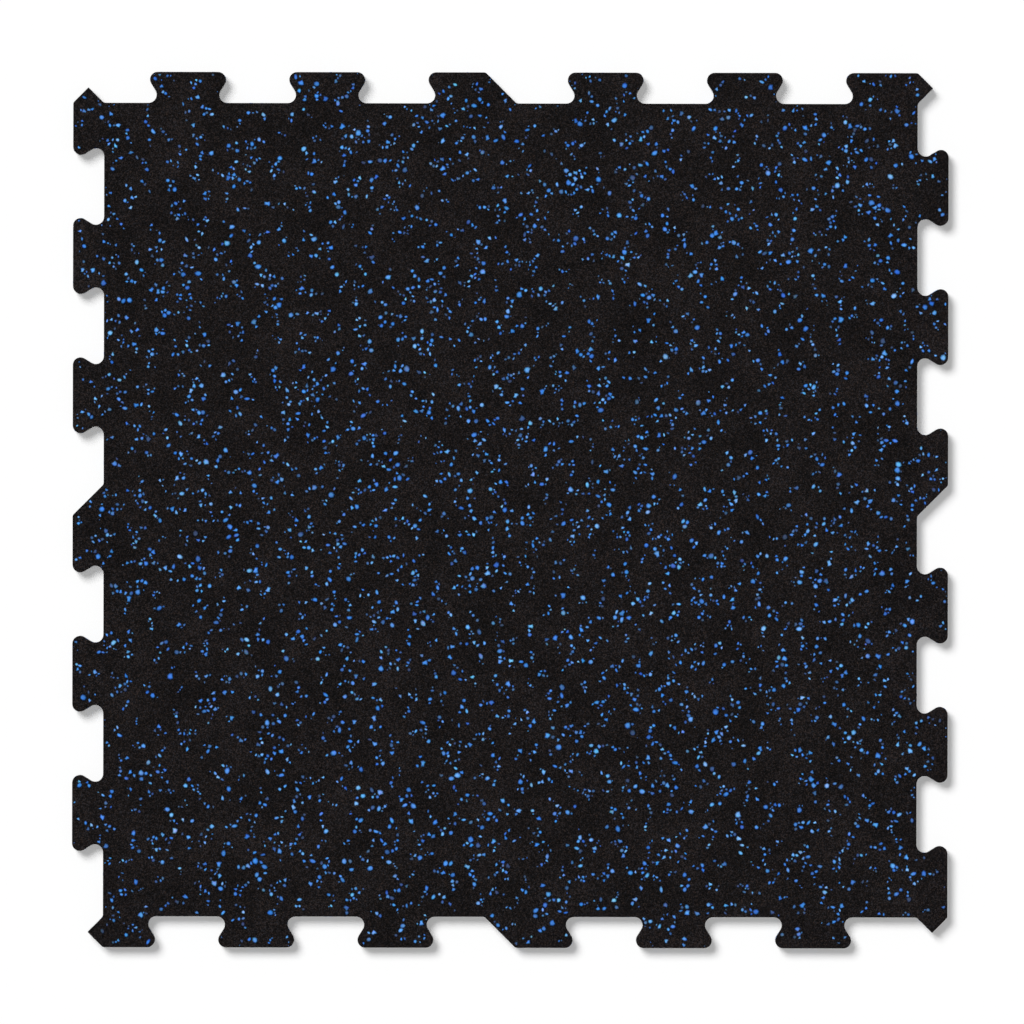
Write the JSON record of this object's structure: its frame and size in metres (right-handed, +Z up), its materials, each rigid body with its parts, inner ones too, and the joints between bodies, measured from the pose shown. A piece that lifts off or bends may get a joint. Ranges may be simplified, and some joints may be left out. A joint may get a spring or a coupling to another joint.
{
  "type": "rubber gym floor tile",
  "caption": "Square black rubber gym floor tile with blue flecks and dovetailed puzzle tabs and sockets on all sides, which locks to like tiles.",
  "frame": {"origin": "centre of the underside, which is also the middle of the square that the tile covers", "axes": "+Z up through the thickness; +X and +Y across the tile, to the right and up when it is seen from above"},
  "size_m": [0.6096, 0.6096, 0.0095],
  "materials": {
    "flecked_rubber": "matt, finely grained black recycled rubber with scattered bright blue granules"
  },
  "bodies": {
    "root": {"rubber_tile": "flecked_rubber"}
  },
  "joints": []
}
